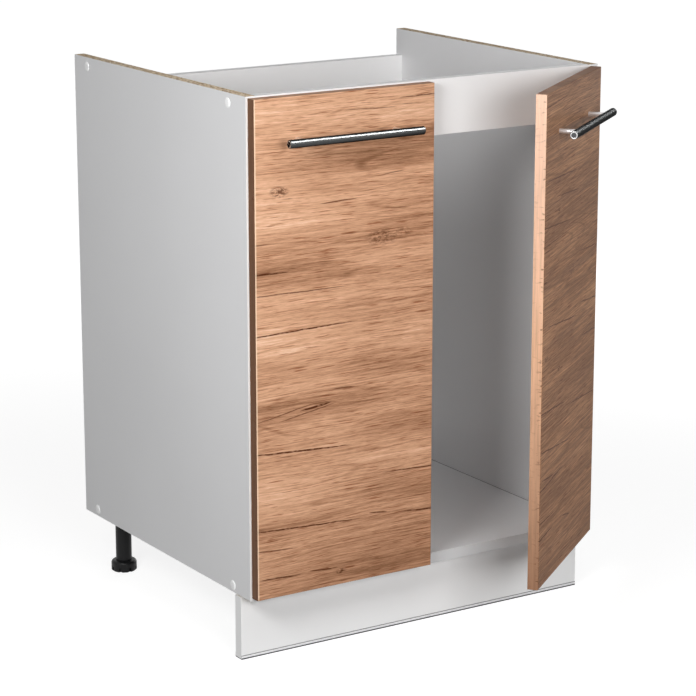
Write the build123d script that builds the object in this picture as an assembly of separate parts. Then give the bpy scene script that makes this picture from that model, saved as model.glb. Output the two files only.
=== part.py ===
from build123d import *

import math
import os
from collections import namedtuple

# A sink base cabinet: an open-topped, backless box of melamine-faced chipboard on four adjustable
# legs, with two doors on concealed cup hinges, two bar handles and a clip-on plinth.
#
# Lengths are millimetres and angles degrees. While it is built, x is 0 in the middle of the
# cabinet, y is 0 at the front edges of the carcass and grows to the rear, and z is 0 at the floor.
# The right door stands ajar, as it is shown; the left door is shut.

# ---- Driving dimensions ----

ScrewSize = namedtuple("ScrewSize", "radius head_radius head_height")

# Carcass
CABINET_WIDTH = 600.0       # over the outer faces of the side panels
CARCASS_HEIGHT = 720.0      # side panels
CARCASS_DEPTH = 510.0       # side panels, front edge to rear edge
BOARD = 16.0                # every carcass board
CARCASS_BAND = 0.6          # edge band on the boards' visible edges
RAIL_HEIGHT = 80.0          # front and rear rail
REAR_RAIL_DROP = 42.0       # top of the sides to the top of the rear rail
LEG_HEIGHT = 97.0           # floor to the underside of the carcass

# Joints between the boards
CAP_FROM_FRONT = 49.0       # front edge of the side to the front cap
CAP_FROM_REAR = 40.0
CAP_FROM_TOP = 14.0
CAP_FROM_BOTTOM = 10.0
CAP_RADIUS = 7.25
CAP_RISE = 1.6
CAP_EDGE = 0.4              # upright edge round the cap's dome
CAP_SHOULDERS = ((6.5, 1.0), (4.6, 1.4))   # radius and height of the steps up to its crown
CAP_STEM_RADIUS = 2.2
CAP_STEM = 2.6
JOINT_SCREW_LENGTH = 50.0   # through the side into the end of the bottom panel
JOINT_SCREW_RADIUS = 3.2
JOINT_HEAD_RADIUS = 5.0
JOINT_HEAD_HEIGHT = 4.0
CAM_RADIUS = 7.5
CAM_DEPTH = 12.5
CAM_SLOT = 1.2              # width of the cross slot
CAM_FROM_END = 34.0         # end of the rail to the axis of the cam
CAM_BOLT_RADIUS = 3.0
CAM_BOLT_IN_SIDE = 11.0
CAM_WAIST_RADIUS = 1.8
CAM_WAIST_LENGTH = 3.0
CAM_WAIST_FROM_AXIS = 6.5   # axis of the cam to the start of the bolt's waist
DOWEL_RADIUS = 4.0
DOWEL_CHAMFER = 0.8
DOWEL_IN_SIDE = 10.0
DOWEL_IN_RAIL = 20.0
DOWEL_FROM_EDGE = 20.0      # long edge of the rail to the dowel

# Doors
DOOR_BOARD = 16.0
DOOR_BAND = 2.0
DOOR_BAND_JOINT = 0.05      # end of a level band to the upright one
DOOR_ROUND = 1.5            # rounding of the edges of the front face
DOOR_STANDOFF = 2.0         # carcass front to the door's back
DOOR_SIDE_REVEAL = 2.0      # side of the cabinet to the hinge edge
DOOR_CENTRE_GAP = 5.0       # between the free edges
DOOR_TOP_REVEAL = 2.0       # top of the sides to the top of the doors
DOOR_BOTTOM_REVEAL = 5.0
DOOR_OPEN = {-1: 0.0, 1: 37.6}   # how far each door stands open, left and right
DOOR_LIMIT = 105.0
PIVOT_FROM_EDGE = 7.3       # hinge edge of the door to the axis that it swings about

# Handles
HANDLE_LENGTH = 220.0
HANDLE_RADIUS = 6.0
HANDLE_END_ROUND = 1.0
HANDLE_FROM_TOP = 60.0      # top of the door to the bar's axis
HANDLE_STANDOFF = 28.5      # door face to the bar's axis
POST_SPACING = 160.0
POST_RADIUS = 3.5
HANDLE_SCREW = ScrewSize(2.0, 4.4, 1.4)
HANDLE_SCREW_IN_POST = 10.0

# Cup hinges
HINGE_FROM_END = 100.0      # top or bottom of the door to the hinge
CUP_RADIUS = 17.5           # hole in the door
CUP_HOLE_DEPTH = 12.5
CUP_WALL = 1.1
CUP_FLOOR = 0.8
CUP_FIT = 0.1               # cup to its hole
CUP_FROM_EDGE = 22.5        # hinge edge of the door to the axis of the cup
FLANGE_THICKNESS = 1.2
FLANGE_RIM = 1.5            # how far the rim stands out over the hole's edge
CUP_SCREW_OFFSET = 9.5      # cup axis to the row of its screws, away from the hinge edge
CUP_SCREW_SPACING = 48.0
CUP_SCREW = ScrewSize(1.75, 3.5, 0.55)
CUP_SCREW_IN_DOOR = 11.0
CUP_WING = 13.0             # width of the flange where the screws are
CUP_WING_MARGIN = 6.0       # screw to the end of the flange
PLATE_SETBACK = 37.0        # front of the carcass to the row of plate screws
PLATE_SCREW_SPACING = 32.0
PLATE_SCREW = ScrewSize(2.5, 4.0, 2.0)
PLATE_SCREW_IN_SIDE = 12.0
PLATE_THICKNESS = 2.4
PLATE_WING = 14.0           # width of the plate where the screws are
PLATE_WING_MARGIN = 8.0     # screw to the end of the plate
WING_ROUND = 5.0            # corners of the plates and of the cups' flanges
SPINE_HEIGHT = 3.0          # side panel to the underside of the arm
SPINE_WIDTH = 9.0
SPINE_LENGTH = 44.0
SPINE_START = 18.0          # front of the carcass to the front of the spine
ARM_THICKNESS = 6.5
ARM_WIDTH = 11.2
ARM_OVERHANG = 2.0          # arm past the rear of the spine
ARM_BEND_BELOW = 14.0       # front of the carcass to where the arm bends, next to the spine
ARM_BEND_ABOVE = 20.0       # the same on its other face
ARM_TIP_RADIUS = 2.8
ARM_NECK = (2.1, 1.25)      # half the arm's thickness at its tip, across and in depth
FORK_DEPTH = 6.2            # pin to the bottom of the fork
ARM_SCREW = ScrewSize(2.5, 4.25, 1.8)
ARM_SCREW_MARGINS = (9.0, 8.0)   # ends of the spine to the adjusting and the fixing screw
LINK_WIDTH = 6.4
LINK_THICKNESS = 2.0
LINK_EYE_RADIUS = 1.9
LINK_ARM_EYE_RADIUS = 2.6
ARM_PIN_RADIUS = 1.5
CUP_PIN_RADIUS = 1.0
CUP_PIN_LENGTH = 11.5
# Three points of the hinge with the door shut: inset from the cabinet's outer face, and depth.
ARM_PIVOT = (36.2, -5.5)
LINK_KNEE = (17.9, -10.8)
LINK_END = (14.3, -6.6)
LINK_TURN = -0.48           # turn of the link for each degree that the door opens

# Legs
LEG_FROM_SIDE = 45.0        # outer face of the side to the leg's axis
LEG_FROM_REAR = 38.0
LEG_BEHIND_PLINTH = 21.0    # back of the plinth to the axis of a front leg
LEG_FLANGE = 4.0            # thickness of the flange under the bottom panel
LEG_FLANGE_WIDTH = 64.0
LEG_FLANGE_CORNER = 6.0
PLINTH_CLEARANCE = 1.0      # back of the plinth to the flange of a front leg
SPIGOT_RADIUS = 9.5
SPIGOT_LENGTH = 14.0
COLUMN_RADIUS = 12.5
FOOT_RADIUS = 20.0
FOOT_HEIGHT = 17.0
FOOT_SHOULDER = 4.5         # rounding of the foot's upper edge
FOOT_BEVEL = 1.5            # its lower edge
NOTCH_COUNT = 8
NOTCH_DEPTH = 3.5
NOTCH_WIDTH = 4.5
NOTCH_HEIGHT = 7.0
STUD_RADIUS = 6.0
STUD_LENGTH = 45.0
LEG_SCREW_MARGIN = 11.0     # edge of the flange to the screws
LEG_SCREW = ScrewSize(1.75, 3.5, 2.2)
LEG_SCREW_IN_BOARD = 11.0

# Plinth
PLINTH_SETBACK = 27.0       # front of the carcass to the front of the plinth
PLINTH_BOARD = 16.0
PLINTH_TOP_GAP = 2.0        # top of the plinth to the underside of the carcass
FLOOR_GAP = 0.5             # floor to the sealing strip
SEAL_THICKNESS = 0.8
SEAL_FLOOR = 1.2
SEAL_HEIGHT = 6.0
CLIP_THICKNESS = 2.5
CLIP_BASE = 3.0
CLIP_BASE_WIDTH = 44.0
CLIP_NECK_WIDTH = 22.0
CLIP_REACH = 5.0            # axis of the leg to the ends of the jaws
CLIP_HEIGHT = 30.0
CLIP_BOTTOM = 45.0
CLIP_SCREW_SPACING = 34.0
CLIP_SCREW = ScrewSize(1.75, 3.15, 1.8)
CLIP_SCREW_IN_BOARD = 11.0

# Clearances
FIXED_FIT = 0.02            # round a pin or screw that stays put
RUNNING_FIT = 0.05          # round a shaft that turns or slides
SEAT_GAP = 0.2              # between two faces that only meet at a stop
CLIP_FIT = 0.3

# Shape of every screw, as shares of its own sizes
POINT_LENGTH = 1.5          # of the shank's radius
POINT_TIP = 0.3             # of the shank's radius
HEAD_CHAMFER = 0.4          # of the head's height
RECESS_LENGTH = 1.1         # of the head's radius
RECESS_WIDTH = 0.28         # of the head's radius

# ---- Derived places ----

SIDES = {"left": -1, "right": 1}
CARCASS_TOP = LEG_HEIGHT + CARCASS_HEIGHT
FLOOR_TOP = LEG_HEIGHT + BOARD
INNER_HALF = CABINET_WIDTH / 2 - BOARD
REAR_RAIL_TOP = CARCASS_TOP - REAR_RAIL_DROP
DOOR_BACK = -DOOR_STANDOFF
DOOR_FACE = DOOR_BACK - DOOR_BOARD
DOOR_TOP = CARCASS_TOP - DOOR_TOP_REVEAL
DOOR_BOTTOM = LEG_HEIGHT + DOOR_BOTTOM_REVEAL
PIVOT_INSET = DOOR_SIDE_REVEAL + PIVOT_FROM_EDGE
HANDLE_Z = DOOR_TOP - HANDLE_FROM_TOP
HANDLE_Y = DOOR_FACE - HANDLE_STANDOFF
HINGE_LEVELS = (DOOR_BOTTOM + HINGE_FROM_END, DOOR_TOP - HINGE_FROM_END)
CUP_INSET = DOOR_SIDE_REVEAL + CUP_FROM_EDGE
PLINTH_BACK = PLINTH_SETBACK + PLINTH_BOARD
LEG_ROWS = {"front": PLINTH_BACK + LEG_BEHIND_PLINTH, "rear": CARCASS_DEPTH - LEG_FROM_REAR}
LEG_FLANGE_DEPTH = 2 * (LEG_BEHIND_PLINTH - PLINTH_CLEARANCE)
COLUMN_TOP = LEG_HEIGHT - LEG_FLANGE
COLUMN_BOTTOM = FOOT_HEIGHT + SEAT_GAP

AT_BASE = (Align.CENTER, Align.CENTER, Align.MIN)


# ---- Small building blocks ----

def across(side, inset):
    """The x position this far in from the cabinet's outer face; side is -1 for left, 1 for right."""
    return side * (CABINET_WIDTH / 2 - inset)


def block(x, y, z):
    """A box between two positions along each axis."""
    (x0, x1), (y0, y1), (z0, z1) = (sorted(ends) for ends in (x, y, z))
    return Pos(x0, y0, z0) * Box(x1 - x0, y1 - y0, z1 - z0, align=(Align.MIN,) * 3)


def rod(start, direction, radius, length):
    """A round bar that starts at a point and runs along a direction."""
    return Plane(start, z_dir=direction) * Cylinder(radius, length, align=AT_BASE)


def plate(outline, z0, z1):
    """A flat shape, drawn in x and y, made solid between two heights."""
    return extrude(Pos(0, 0, z0) * outline, z1 - z0)


def hinge_outline(side, points):
    """A polygon through (inset, depth) points, for the hinge on one side."""
    return make_face(Polyline(*[(across(side, inset), depth) for inset, depth in points], close=True))


def screw(seat, direction, size, length):
    """A pan-head screw with a cross recess, its head on the seat and its shank along the direction."""
    tip = size.radius * POINT_LENGTH
    shank = Cylinder(size.radius, length - tip, align=AT_BASE)
    point = Pos(0, 0, length - tip) * Cone(size.radius, size.radius * POINT_TIP, tip, align=AT_BASE)
    head = Pos(0, 0, -size.head_height) * Cylinder(size.head_radius, size.head_height, align=AT_BASE)
    head = chamfer(head.edges().sort_by(Axis.Z)[0], size.head_height * HEAD_CHAMFER)
    slot = Box(size.head_radius * RECESS_LENGTH, size.head_radius * RECESS_WIDTH, size.head_height)
    recess = Pos(0, 0, -size.head_height) * (slot + Rot(0, 0, 90) * slot)
    return Plane(seat, z_dir=direction) * (head + shank + point - recess)


def screw_hole(seat, direction, size, length):
    """The round hole that a screw's shank fills."""
    return rod(seat, direction, size.radius + FIXED_FIT, length)


def swing(side):
    """Turns what the door carries about the door's axis, from shut to where the door stands."""
    turn = side * DOOR_OPEN[side]
    axis = (across(side, PIVOT_INSET), DOOR_FACE, 0)
    return Pos(*axis) * Rot(0, 0, turn) * Pos(*(-value for value in axis))


def link_swing(side):
    """Turns the link about the arm's pin, as far as the open door has moved it."""
    turn = side * DOOR_OPEN[side] * LINK_TURN
    axis = (across(side, ARM_PIVOT[0]), ARM_PIVOT[1], 0)
    return Pos(*axis) * Rot(0, 0, turn) * Pos(*(-value for value in axis))


# ---- Carcass ----

def cap_places():
    """Depth and height of each screw cap on a side, those over the joint screws first."""
    depths = (CAP_FROM_FRONT, CARCASS_DEPTH - CAP_FROM_REAR)
    heights = (LEG_HEIGHT + CAP_FROM_BOTTOM, CARCASS_TOP - CAP_FROM_TOP)
    return [(depth, height) for height in heights for depth in depths]


def rail_joints():
    """Depth of the middle and height of the top of each rail, the front one first."""
    return [(BOARD / 2, CARCASS_TOP), (CARCASS_DEPTH - BOARD / 2, REAR_RAIL_TOP)]


def dowel_heights(top):
    """Heights of the two dowels in the end of a rail."""
    return (top - RAIL_HEIGHT + DOWEL_FROM_EDGE, top - DOWEL_FROM_EDGE)


def side_panel(side):
    """One side of the carcass, drilled for its joint screws, cam bolts, dowels and hinge plates."""
    outer, inner = across(side, 0), across(side, BOARD)
    inward = (-side, 0, 0)
    outward = (side, 0, 0)
    panel = block((outer, inner), (CARCASS_BAND, CARCASS_DEPTH), (LEG_HEIGHT, CARCASS_TOP))
    for depth, height in cap_places()[:2]:
        panel -= rod((outer, depth, height), inward, JOINT_SCREW_RADIUS + FIXED_FIT, BOARD)
        panel -= rod((outer, depth, height), inward, JOINT_HEAD_RADIUS + FIXED_FIT, JOINT_HEAD_HEIGHT)
    for depth, height in cap_places()[2:]:
        panel -= rod((outer, depth, height), inward, CAP_STEM_RADIUS + FIXED_FIT, BOARD / 2)
    for depth, top in rail_joints():
        middle = top - RAIL_HEIGHT / 2
        panel -= rod((inner, depth, middle), outward, CAM_BOLT_RADIUS + FIXED_FIT, CAM_BOLT_IN_SIDE)
        for height in dowel_heights(top):
            panel -= rod((inner, depth, height), outward, DOWEL_RADIUS + FIXED_FIT, DOWEL_IN_SIDE)
    for place in plate_screw_places(side):
        panel -= screw_hole((inner, *place), outward, PLATE_SCREW, PLATE_SCREW_IN_SIDE)
    return panel


def bottom_panel():
    """The cabinet's floor, between the sides, with holes for the joint screws and leg screws."""
    panel = block((-INNER_HALF, INNER_HALF), (CARCASS_BAND, CARCASS_DEPTH), (LEG_HEIGHT, FLOOR_TOP))
    for side in SIDES.values():
        for depth, height in cap_places()[:2]:
            start = (across(side, BOARD), depth, height)
            panel -= rod(start, (-side, 0, 0), JOINT_SCREW_RADIUS + FIXED_FIT, JOINT_SCREW_LENGTH - BOARD)
        for row in LEG_ROWS.values():
            for x, y in leg_screw_places(side, row):
                panel -= screw_hole((x, y, LEG_HEIGHT), (0, 0, 1), LEG_SCREW, LEG_SCREW_IN_BOARD)
    return panel


def rail(depth, top):
    """A rail on edge between the sides, with a cam, a bolt hole and two dowels at each end."""
    body = block((-INNER_HALF, INNER_HALF), (depth - BOARD / 2, depth + BOARD / 2),
                 (top - RAIL_HEIGHT + CARCASS_BAND, top - CARCASS_BAND))
    for side in SIDES.values():
        end = side * INNER_HALF
        inward = (-side, 0, 0)
        body -= cam_pocket(side, depth, top, FIXED_FIT)
        bolt_start = (end, depth, top - RAIL_HEIGHT / 2)
        body -= rod(bolt_start, inward, CAM_BOLT_RADIUS + FIXED_FIT, CAM_FROM_END)
        for height in dowel_heights(top):
            body -= rod((end, depth, height), inward, DOWEL_RADIUS + FIXED_FIT, DOWEL_IN_RAIL)
    return body


def cam_pocket(side, depth, top, fit):
    """The round of a cam, sunk into the rear face of a rail."""
    face = (side * (INNER_HALF - CAM_FROM_END), depth + BOARD / 2, top - RAIL_HEIGHT / 2)
    return rod(face, (0, -1, 0), CAM_RADIUS + fit, CAM_DEPTH)


def rail_cams():
    """The cams that draw the rails to the sides, each cross-slotted and drilled for its bolt."""
    cams = []
    for depth, top in rail_joints():
        for side in SIDES.values():
            axis_x = side * (INNER_HALF - CAM_FROM_END)
            face_y = depth + BOARD / 2
            middle = top - RAIL_HEIGHT / 2
            cam = cam_pocket(side, depth, top, 0)
            slot = Box(CAM_RADIUS, CAM_DEPTH / 3, CAM_SLOT)
            cam -= Pos(axis_x, face_y, middle) * (slot + Rot(0, 90, 0) * slot)
            bolt = rod((side * INNER_HALF, depth, middle), (-side, 0, 0), CAM_BOLT_RADIUS + FIXED_FIT,
                       CAM_FROM_END)
            cams.append(cam - bolt)
    return cams


def cam_bolts():
    """The bolts from the sides into the cams, each with a waist behind its head."""
    bolts = []
    for depth, top in rail_joints():
        for side in SIDES.values():
            inward = (-side, 0, 0)
            middle = top - RAIL_HEIGHT / 2
            start = (across(side, BOARD - CAM_BOLT_IN_SIDE), depth, middle)
            bolt = rod(start, inward, CAM_BOLT_RADIUS, CAM_BOLT_IN_SIDE + CAM_FROM_END - SEAT_GAP)
            waist = (side * (INNER_HALF - CAM_FROM_END + CAM_WAIST_FROM_AXIS), depth, middle)
            bolt -= rod(waist, inward, CAM_BOLT_RADIUS, CAM_WAIST_LENGTH)
            bolts.append(bolt + rod(waist, inward, CAM_WAIST_RADIUS, CAM_WAIST_LENGTH))
    return bolts


def dowels():
    """The beech dowels that line the rails up with the sides."""
    pegs = []
    for depth, top in rail_joints():
        for side in SIDES.values():
            for height in dowel_heights(top):
                start = (across(side, BOARD - DOWEL_IN_SIDE + SEAT_GAP), depth, height)
                length = DOWEL_IN_SIDE + DOWEL_IN_RAIL - 2 * SEAT_GAP
                peg = rod(start, (-side, 0, 0), DOWEL_RADIUS, length)
                pegs.append(chamfer(peg.edges().filter_by(GeomType.CIRCLE), DOWEL_CHAMFER))
    return pegs


def joint_screws():
    """The screws through the sides into the ends of the bottom panel, with a socket for the cap."""
    screws = []
    for side in SIDES.values():
        for depth, height in cap_places()[:2]:
            start = (across(side, 0), depth, height)
            inward = (-side, 0, 0)
            body = rod(start, inward, JOINT_HEAD_RADIUS, JOINT_HEAD_HEIGHT)
            body += rod(start, inward, JOINT_SCREW_RADIUS, JOINT_SCREW_LENGTH - SEAT_GAP)
            screws.append(body - rod(start, inward, CAP_STEM_RADIUS + FIXED_FIT, CAP_STEM + SEAT_GAP))
    return screws


def screw_caps():
    """The domed caps on the outside of the sides, over the joint screws and the spare upper holes."""
    profile = [(0, 0), (CAP_RADIUS, 0), (CAP_RADIUS, CAP_EDGE), *CAP_SHOULDERS, (0, CAP_RISE)]
    section = make_face(Polyline(*[(radius, 0, height) for radius, height in profile], close=True))
    cap = revolve(section, Axis.Z)
    cap += Pos(0, 0, -CAP_STEM) * Cylinder(CAP_STEM_RADIUS, CAP_STEM, align=AT_BASE)
    return [Plane((across(side, 0), depth, height), z_dir=(side, 0, 0)) * cap
            for side in SIDES.values() for depth, height in cap_places()]


def carcass_bands():
    """The edge bands: sides and floor at the front, rails along their top and bottom edges."""
    front = (0, CARCASS_BAND)
    bands = [block((across(side, 0), across(side, BOARD)), front, (LEG_HEIGHT, CARCASS_TOP))
             for side in SIDES.values()]
    bands.append(block((-INNER_HALF, INNER_HALF), front, (LEG_HEIGHT, FLOOR_TOP)))
    for depth, top in rail_joints():
        thickness = (depth - BOARD / 2, depth + BOARD / 2)
        for edge in (top - CARCASS_BAND, top - RAIL_HEIGHT):
            bands.append(block((-INNER_HALF, INNER_HALF), thickness, (edge, edge + CARCASS_BAND)))
    return bands


# ---- Doors and handles ----

def door_blank(side):
    """A whole door, shut, with the edges of its front face rounded."""
    blank = block((across(side, DOOR_SIDE_REVEAL), side * DOOR_CENTRE_GAP / 2),
                  (DOOR_FACE, DOOR_BACK), (DOOR_BOTTOM, DOOR_TOP))
    return fillet(blank.faces().sort_by(Axis.Y)[0].edges(), DOOR_ROUND)


def door_ends(side):
    """The x positions of the door's board without its bands, hinge edge first."""
    return (across(side, DOOR_SIDE_REVEAL + DOOR_BAND), side * (DOOR_CENTRE_GAP / 2 + DOOR_BAND))


def door_panel(side):
    """The board of a door, with its hinge cups and handle holes cut."""
    core = block(door_ends(side), (DOOR_FACE, DOOR_BACK),
                 (DOOR_BOTTOM + DOOR_BAND, DOOR_TOP - DOOR_BAND))
    for level in HINGE_LEVELS:
        cup_axis = (across(side, CUP_INSET), DOOR_BACK, level)
        core -= rod(cup_axis, (0, -1, 0), CUP_RADIUS, CUP_HOLE_DEPTH)
        for place in cup_screw_places(side, level):
            core -= screw_hole(place, (0, -1, 0), CUP_SCREW, CUP_SCREW_IN_DOOR)
    for x in post_places(side):
        core -= screw_hole((x, DOOR_BACK, HANDLE_Z), (0, -1, 0), HANDLE_SCREW, DOOR_BOARD)
    return swing(side) * core


def door_bands(side):
    """The four edge bands of a door: two upright, full height, and two level between them."""
    blank = door_blank(side)
    hinge_end, free_end = door_ends(side)
    depth = (DOOR_FACE, DOOR_BACK)
    height = (DOOR_BOTTOM, DOOR_TOP)
    upright_hinge = block((across(side, DOOR_SIDE_REVEAL), hinge_end), depth, height)
    upright_free = block((side * DOOR_CENTRE_GAP / 2, free_end), depth, height)
    between = (hinge_end - side * DOOR_BAND_JOINT, free_end + side * DOOR_BAND_JOINT)
    level_bottom = block(between, depth, (DOOR_BOTTOM, DOOR_BOTTOM + DOOR_BAND))
    level_top = block(between, depth, (DOOR_TOP - DOOR_BAND, DOOR_TOP))
    return [swing(side) * (blank & region)
            for region in (upright_hinge, upright_free, level_bottom, level_top)]


def door_middle(side):
    """The x position of the middle of a door."""
    return (across(side, DOOR_SIDE_REVEAL) + side * DOOR_CENTRE_GAP / 2) / 2


def post_places(side):
    """The x positions of the handle's two posts."""
    return [door_middle(side) + offset for offset in (-POST_SPACING / 2, POST_SPACING / 2)]


def handle_bar(side):
    """The round bar of a handle, with softened ends; the posts are shaped to butt against it."""
    start = (door_middle(side) - HANDLE_LENGTH / 2, HANDLE_Y, HANDLE_Z)
    bar = rod(start, (1, 0, 0), HANDLE_RADIUS, HANDLE_LENGTH)
    return swing(side) * fillet(bar.edges().filter_by(GeomType.CIRCLE), HANDLE_END_ROUND)


def handle_posts(side):
    """The two posts, from the door's face to the bar, tapped for the screws."""
    posts = []
    for x in post_places(side):
        post = rod((x, DOOR_FACE, HANDLE_Z), (0, -1, 0), POST_RADIUS, HANDLE_STANDOFF)
        post -= rod((x - POST_SPACING / 4, HANDLE_Y, HANDLE_Z), (1, 0, 0), HANDLE_RADIUS, POST_SPACING / 2)
        post -= screw_hole((x, DOOR_FACE, HANDLE_Z), (0, -1, 0), HANDLE_SCREW, HANDLE_SCREW_IN_POST)
        posts.append(swing(side) * post)
    return posts


def handle_screws(side):
    """The low-headed screws from the door's back into the posts."""
    length = DOOR_BOARD + HANDLE_SCREW_IN_POST - SEAT_GAP
    return [swing(side) * screw((x, DOOR_BACK, HANDLE_Z), (0, -1, 0), HANDLE_SCREW, length)
            for x in post_places(side)]


# ---- Hinges ----

def plate_screw_places(side):
    """Depth and height of each screw that holds a hinge plate to the side panel."""
    return [(PLATE_SETBACK, level + offset) for level in HINGE_LEVELS
            for offset in (-PLATE_SCREW_SPACING / 2, PLATE_SCREW_SPACING / 2)]


def cup_screw_places(side, level):
    """Where the two screws of a cup's flange enter the door."""
    x = across(side, CUP_INSET + CUP_SCREW_OFFSET)
    return [(x, DOOR_BACK, level + offset) for offset in (-CUP_SCREW_SPACING / 2, CUP_SCREW_SPACING / 2)]


def hinge_plates(side):
    """The mounting plates on the side panel: two wings for the screws and a spine for the arm."""
    plates = []
    inner = across(side, BOARD)
    for level in HINGE_LEVELS:
        wing = RectangleRounded(PLATE_WING, PLATE_SCREW_SPACING + 2 * PLATE_WING_MARGIN, WING_ROUND)
        wings = extrude(Plane((inner, PLATE_SETBACK, level), x_dir=(0, 1, 0), z_dir=(-side, 0, 0)) * wing,
                        PLATE_THICKNESS)
        spine = block((inner, across(side, BOARD + SPINE_HEIGHT)),
                      (SPINE_START, SPINE_START + SPINE_LENGTH),
                      (level - SPINE_WIDTH / 2, level + SPINE_WIDTH / 2))
        body = wings + spine
        for offset in (-PLATE_SCREW_SPACING / 2, PLATE_SCREW_SPACING / 2):
            body -= screw_hole((inner, PLATE_SETBACK, level + offset), (-side, 0, 0), PLATE_SCREW,
                               PLATE_THICKNESS)
        for depth in arm_screw_depths():
            body -= screw_hole((inner, depth, level), (-side, 0, 0), ARM_SCREW, SPINE_HEIGHT)
        plates.append(body)
    return plates


def arm_screw_depths():
    """Depths of the side-adjusting screw and the fixing screw on an arm."""
    adjusting, fixing = ARM_SCREW_MARGINS
    return (SPINE_START + adjusting, SPINE_START + SPINE_LENGTH - fixing)


def arm_top():
    """Inset of the arm's inner face."""
    return BOARD + SPINE_HEIGHT + ARM_THICKNESS


def hinge_arms(side):
    """The arms, from the mounting plates to the forked tips that hold the pins inside the cups."""
    low, top = BOARD + SPINE_HEIGHT, arm_top()
    rear = SPINE_START + SPINE_LENGTH + ARM_OVERHANG
    tip_inset, tip_depth = ARM_PIVOT
    neck_across, neck_deep = ARM_NECK
    profile = [(low, rear), (low, ARM_BEND_BELOW), (tip_inset - neck_across, tip_depth - neck_deep),
               (tip_inset + neck_across, tip_depth + neck_deep), (top, ARM_BEND_ABOVE), (top, rear)]
    outline = hinge_outline(side, profile)
    outline += Pos(across(side, tip_inset), tip_depth) * Circle(ARM_TIP_RADIUS)
    arms = []
    for level in HINGE_LEVELS:
        arm = plate(outline, level - ARM_WIDTH / 2, level + ARM_WIDTH / 2)
        fork = LINK_WIDTH / 2 + SEAT_GAP
        arm -= block((across(side, BOARD), across(side, CUP_INSET + CUP_RADIUS)),
                     (tip_depth - 2 * ARM_TIP_RADIUS, tip_depth + FORK_DEPTH),
                     (level - fork, level + fork))
        arm -= arm_pin(side, level, FIXED_FIT)
        for depth in arm_screw_depths():
            arm -= screw_hole((across(side, BOARD), depth, level), (-side, 0, 0), ARM_SCREW, top - BOARD)
        arms.append(arm)
    return arms


def arm_pin(side, level, fit):
    """The pin through the fork of an arm."""
    start = (across(side, ARM_PIVOT[0]), ARM_PIVOT[1], level - ARM_WIDTH / 2)
    return rod(start, (0, 0, 1), ARM_PIN_RADIUS + fit, ARM_WIDTH)


def arm_pins(side):
    """The riveted pins on which the links turn."""
    return [arm_pin(side, level, 0) for level in HINGE_LEVELS]


def arm_screws(side):
    """The adjusting and fixing screws of the arms."""
    length = arm_top() - BOARD - SEAT_GAP
    return [screw((across(side, arm_top()), depth, level), (side, 0, 0), ARM_SCREW, length)
            for level in HINGE_LEVELS for depth in arm_screw_depths()]


def plate_screws(side):
    """The screws that hold the mounting plates."""
    length = PLATE_THICKNESS + PLATE_SCREW_IN_SIDE - SEAT_GAP
    return [screw((across(side, BOARD + PLATE_THICKNESS), *place), (side, 0, 0), PLATE_SCREW, length)
            for place in plate_screw_places(side)]


def hinge_links(side):
    """The cranked links between arm and cup, each with an eye at both ends."""
    points = [(across(side, inset), depth) for inset, depth in (ARM_PIVOT, LINK_KNEE, LINK_END)]
    outline = Sketch()
    for start, end in zip(points, points[1:]):
        span = Vector(*end) - Vector(*start)
        bar = Rectangle(span.length, LINK_THICKNESS)
        angle = math.degrees(math.atan2(span.Y, span.X))
        middle = (Vector(*start) + Vector(*end)) / 2
        outline += Pos(middle.X, middle.Y) * Rot(0, 0, angle) * bar
        outline += Pos(*end) * Circle(LINK_THICKNESS / 2)
    outline += Pos(*points[0]) * Circle(LINK_ARM_EYE_RADIUS)
    outline += Pos(*points[-1]) * Circle(LINK_EYE_RADIUS)
    outline -= Pos(*points[0]) * Circle(ARM_PIN_RADIUS + RUNNING_FIT)
    outline -= Pos(*points[-1]) * Circle(CUP_PIN_RADIUS + FIXED_FIT)
    return [link_swing(side) * plate(outline, level - LINK_WIDTH / 2, level + LINK_WIDTH / 2)
            for level in HINGE_LEVELS]


def cup_pins(side):
    """The pins in the cup ends of the links."""
    place = (across(side, LINK_END[0]), LINK_END[1])
    return [link_swing(side) * rod((*place, level - CUP_PIN_LENGTH / 2), (0, 0, 1), CUP_PIN_RADIUS,
                                   CUP_PIN_LENGTH)
            for level in HINGE_LEVELS]


def hinge_cups(side):
    """The pressed cups in the doors, each with a rim and a flange for its screws."""
    cups = []
    for level in HINGE_LEVELS:
        axis = (across(side, CUP_INSET), DOOR_BACK, level)
        mouth = (axis[0], DOOR_BACK + FLANGE_THICKNESS, level)
        shell = rod(axis, (0, -1, 0), CUP_RADIUS - CUP_FIT, CUP_HOLE_DEPTH - CUP_FIT)
        rim = rod(mouth, (0, -1, 0), CUP_RADIUS + FLANGE_RIM, FLANGE_THICKNESS)
        wing = RectangleRounded(CUP_WING, CUP_SCREW_SPACING + 2 * CUP_WING_MARGIN, WING_ROUND)
        flange_plane = Plane((across(side, CUP_INSET + CUP_SCREW_OFFSET), DOOR_BACK, level),
                             x_dir=(1, 0, 0), z_dir=(0, 1, 0))
        body = shell + rim + extrude(flange_plane * wing, FLANGE_THICKNESS)
        cavity_depth = FLANGE_THICKNESS + CUP_HOLE_DEPTH - CUP_FLOOR
        body -= rod(mouth, (0, -1, 0), CUP_RADIUS - CUP_WALL, cavity_depth)
        for place in cup_screw_places(side, level):
            body -= screw_hole(place, (0, 1, 0), CUP_SCREW, FLANGE_THICKNESS)
        cups.append(swing(side) * body)
    return cups


def cup_screws(side):
    """The low-headed screws that hold the cups' flanges to the doors."""
    return [swing(side) * screw((x, y + FLANGE_THICKNESS, z), (0, -1, 0), CUP_SCREW, CUP_SCREW_IN_DOOR)
            for level in HINGE_LEVELS for x, y, z in cup_screw_places(side, level)]


# ---- Legs ----

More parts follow.
